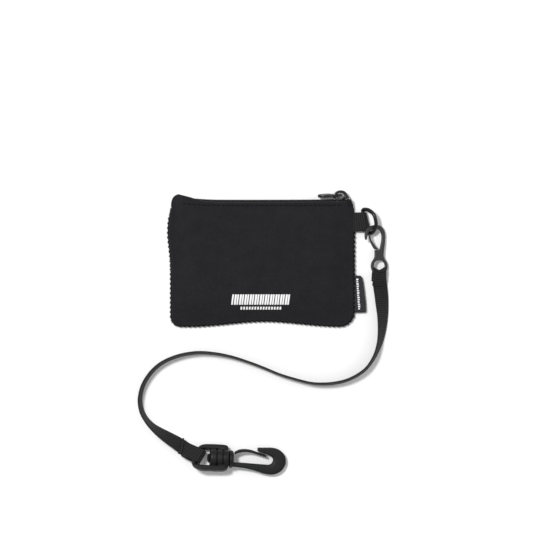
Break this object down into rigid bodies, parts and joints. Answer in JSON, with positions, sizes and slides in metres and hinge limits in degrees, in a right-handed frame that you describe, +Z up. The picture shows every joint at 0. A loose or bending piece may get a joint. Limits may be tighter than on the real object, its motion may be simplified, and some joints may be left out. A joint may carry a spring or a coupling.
{
  "type": "zippered pouch",
  "caption": "Flat zippered neoprene pouch with a side D-ring and label, and a webbing lanyard with a metal snap hook and a plastic swivel hook.",
  "frame": {"origin": "on the back panel's outer face, under the middle of the pouch", "axes": "+Z up, out of the front panel; +Y towards the zip; +X towards the closed end of the zip and the D-ring"},
  "size_m": [0.1667, 0.1885, 0.0141],
  "materials": {
    "neoprene": "matte knit-faced neoprene, charcoal black",
    "thread": "black polyester thread",
    "tape": "woven zip tape",
    "coil": "nylon coil",
    "black_metal": "gloss black plated metal",
    "webbing": "ribbed black webbing",
    "label": "satin woven label",
    "hook_metal": "dark grey satin metal",
    "hook_plastic": "semi-matte moulded black plastic"
  },
  "bodies": {
    "pouch": {"back_panel": "neoprene", "front_panel": "neoprene", "perimeter_seam": "thread", "zipper_tape_back": "tape", "zipper_tape_front": "tape", "coil_row_back": "coil", "coil_row_front": "coil", "bottom_stop": "black_metal", "top_stop_back": "black_metal", "top_stop_front": "black_metal", "mouth_stitch": "thread", "webbing_tab": "webbing", "side_label": "label"},
    "slider": {"slider_body": "black_metal"},
    "pull": {"puller": "black_metal"},
    "ring": {"d_ring": "black_metal"},
    "lanyard": {"snap_hook_body": "hook_metal", "strap_webbing": "webbing"},
    "snap_gate": {"snap_hook_gate": "hook_metal"},
    "swivel": {"swivel_base": "hook_plastic"},
    "clip": {"swivel_clip": "hook_plastic"},
    "clip_gate": {"swivel_gate": "hook_plastic"}
  },
  "joints": [
    {"name": "zip_slide", "type": "slide", "parent": "pouch", "child": "slider", "axis": [-1, 0, 0], "range_m": [0, 0.092]},
    {"name": "puller_flip", "type": "hinge", "parent": "slider", "child": "pull", "pos_m": [0.0528, 0.04465, 0.0047], "axis": [0, 0, -1], "range_deg": [0, 170]},
    {"name": "ring_turn", "type": "hinge", "parent": "pouch", "child": "ring", "pos_m": [0.0687, 0.0266, 0.0025], "axis": [0.2198, -0.9755, 0], "range_deg": [-45, 45]},
    {"name": "lanyard_swing", "type": "hinge", "parent": "ring", "child": "lanyard", "pos_m": [0.074, 0.022, 0.005], "axis": [0, 0, 1], "range_deg": [-5, 15]},
    {"name": "snap_gate_open", "type": "hinge", "parent": "lanyard", "child": "snap_gate", "pos_m": [0.07655, 0.0088, 0.0041], "axis": [-0.3386, -0.0244, -0.9406], "range_deg": [0, 3], "stiffness_Nm_per_rad": 0.002},
    {"name": "swivel_base_tilt", "type": "hinge", "parent": "lanyard", "child": "swivel", "pos_m": [-0.0452, -0.1297, 0.0086], "axis": [-0.0047, -0.9072, 0.4206], "range_deg": [0, 60]},
    {"name": "swivel_spin", "type": "hinge", "parent": "swivel", "child": "clip", "pos_m": [-0.0452, -0.1297, 0.0086], "axis": [0.994, -0.0504, -0.0976], "continuous": true},
    {"name": "clip_gate_open", "type": "hinge", "parent": "clip", "child": "clip_gate", "pos_m": [-0.01905, -0.12692, 0.00605], "axis": [-0.0975, 0.0049, -0.9952], "range_deg": [0, 12], "stiffness_Nm_per_rad": 0.002}
  ]
}
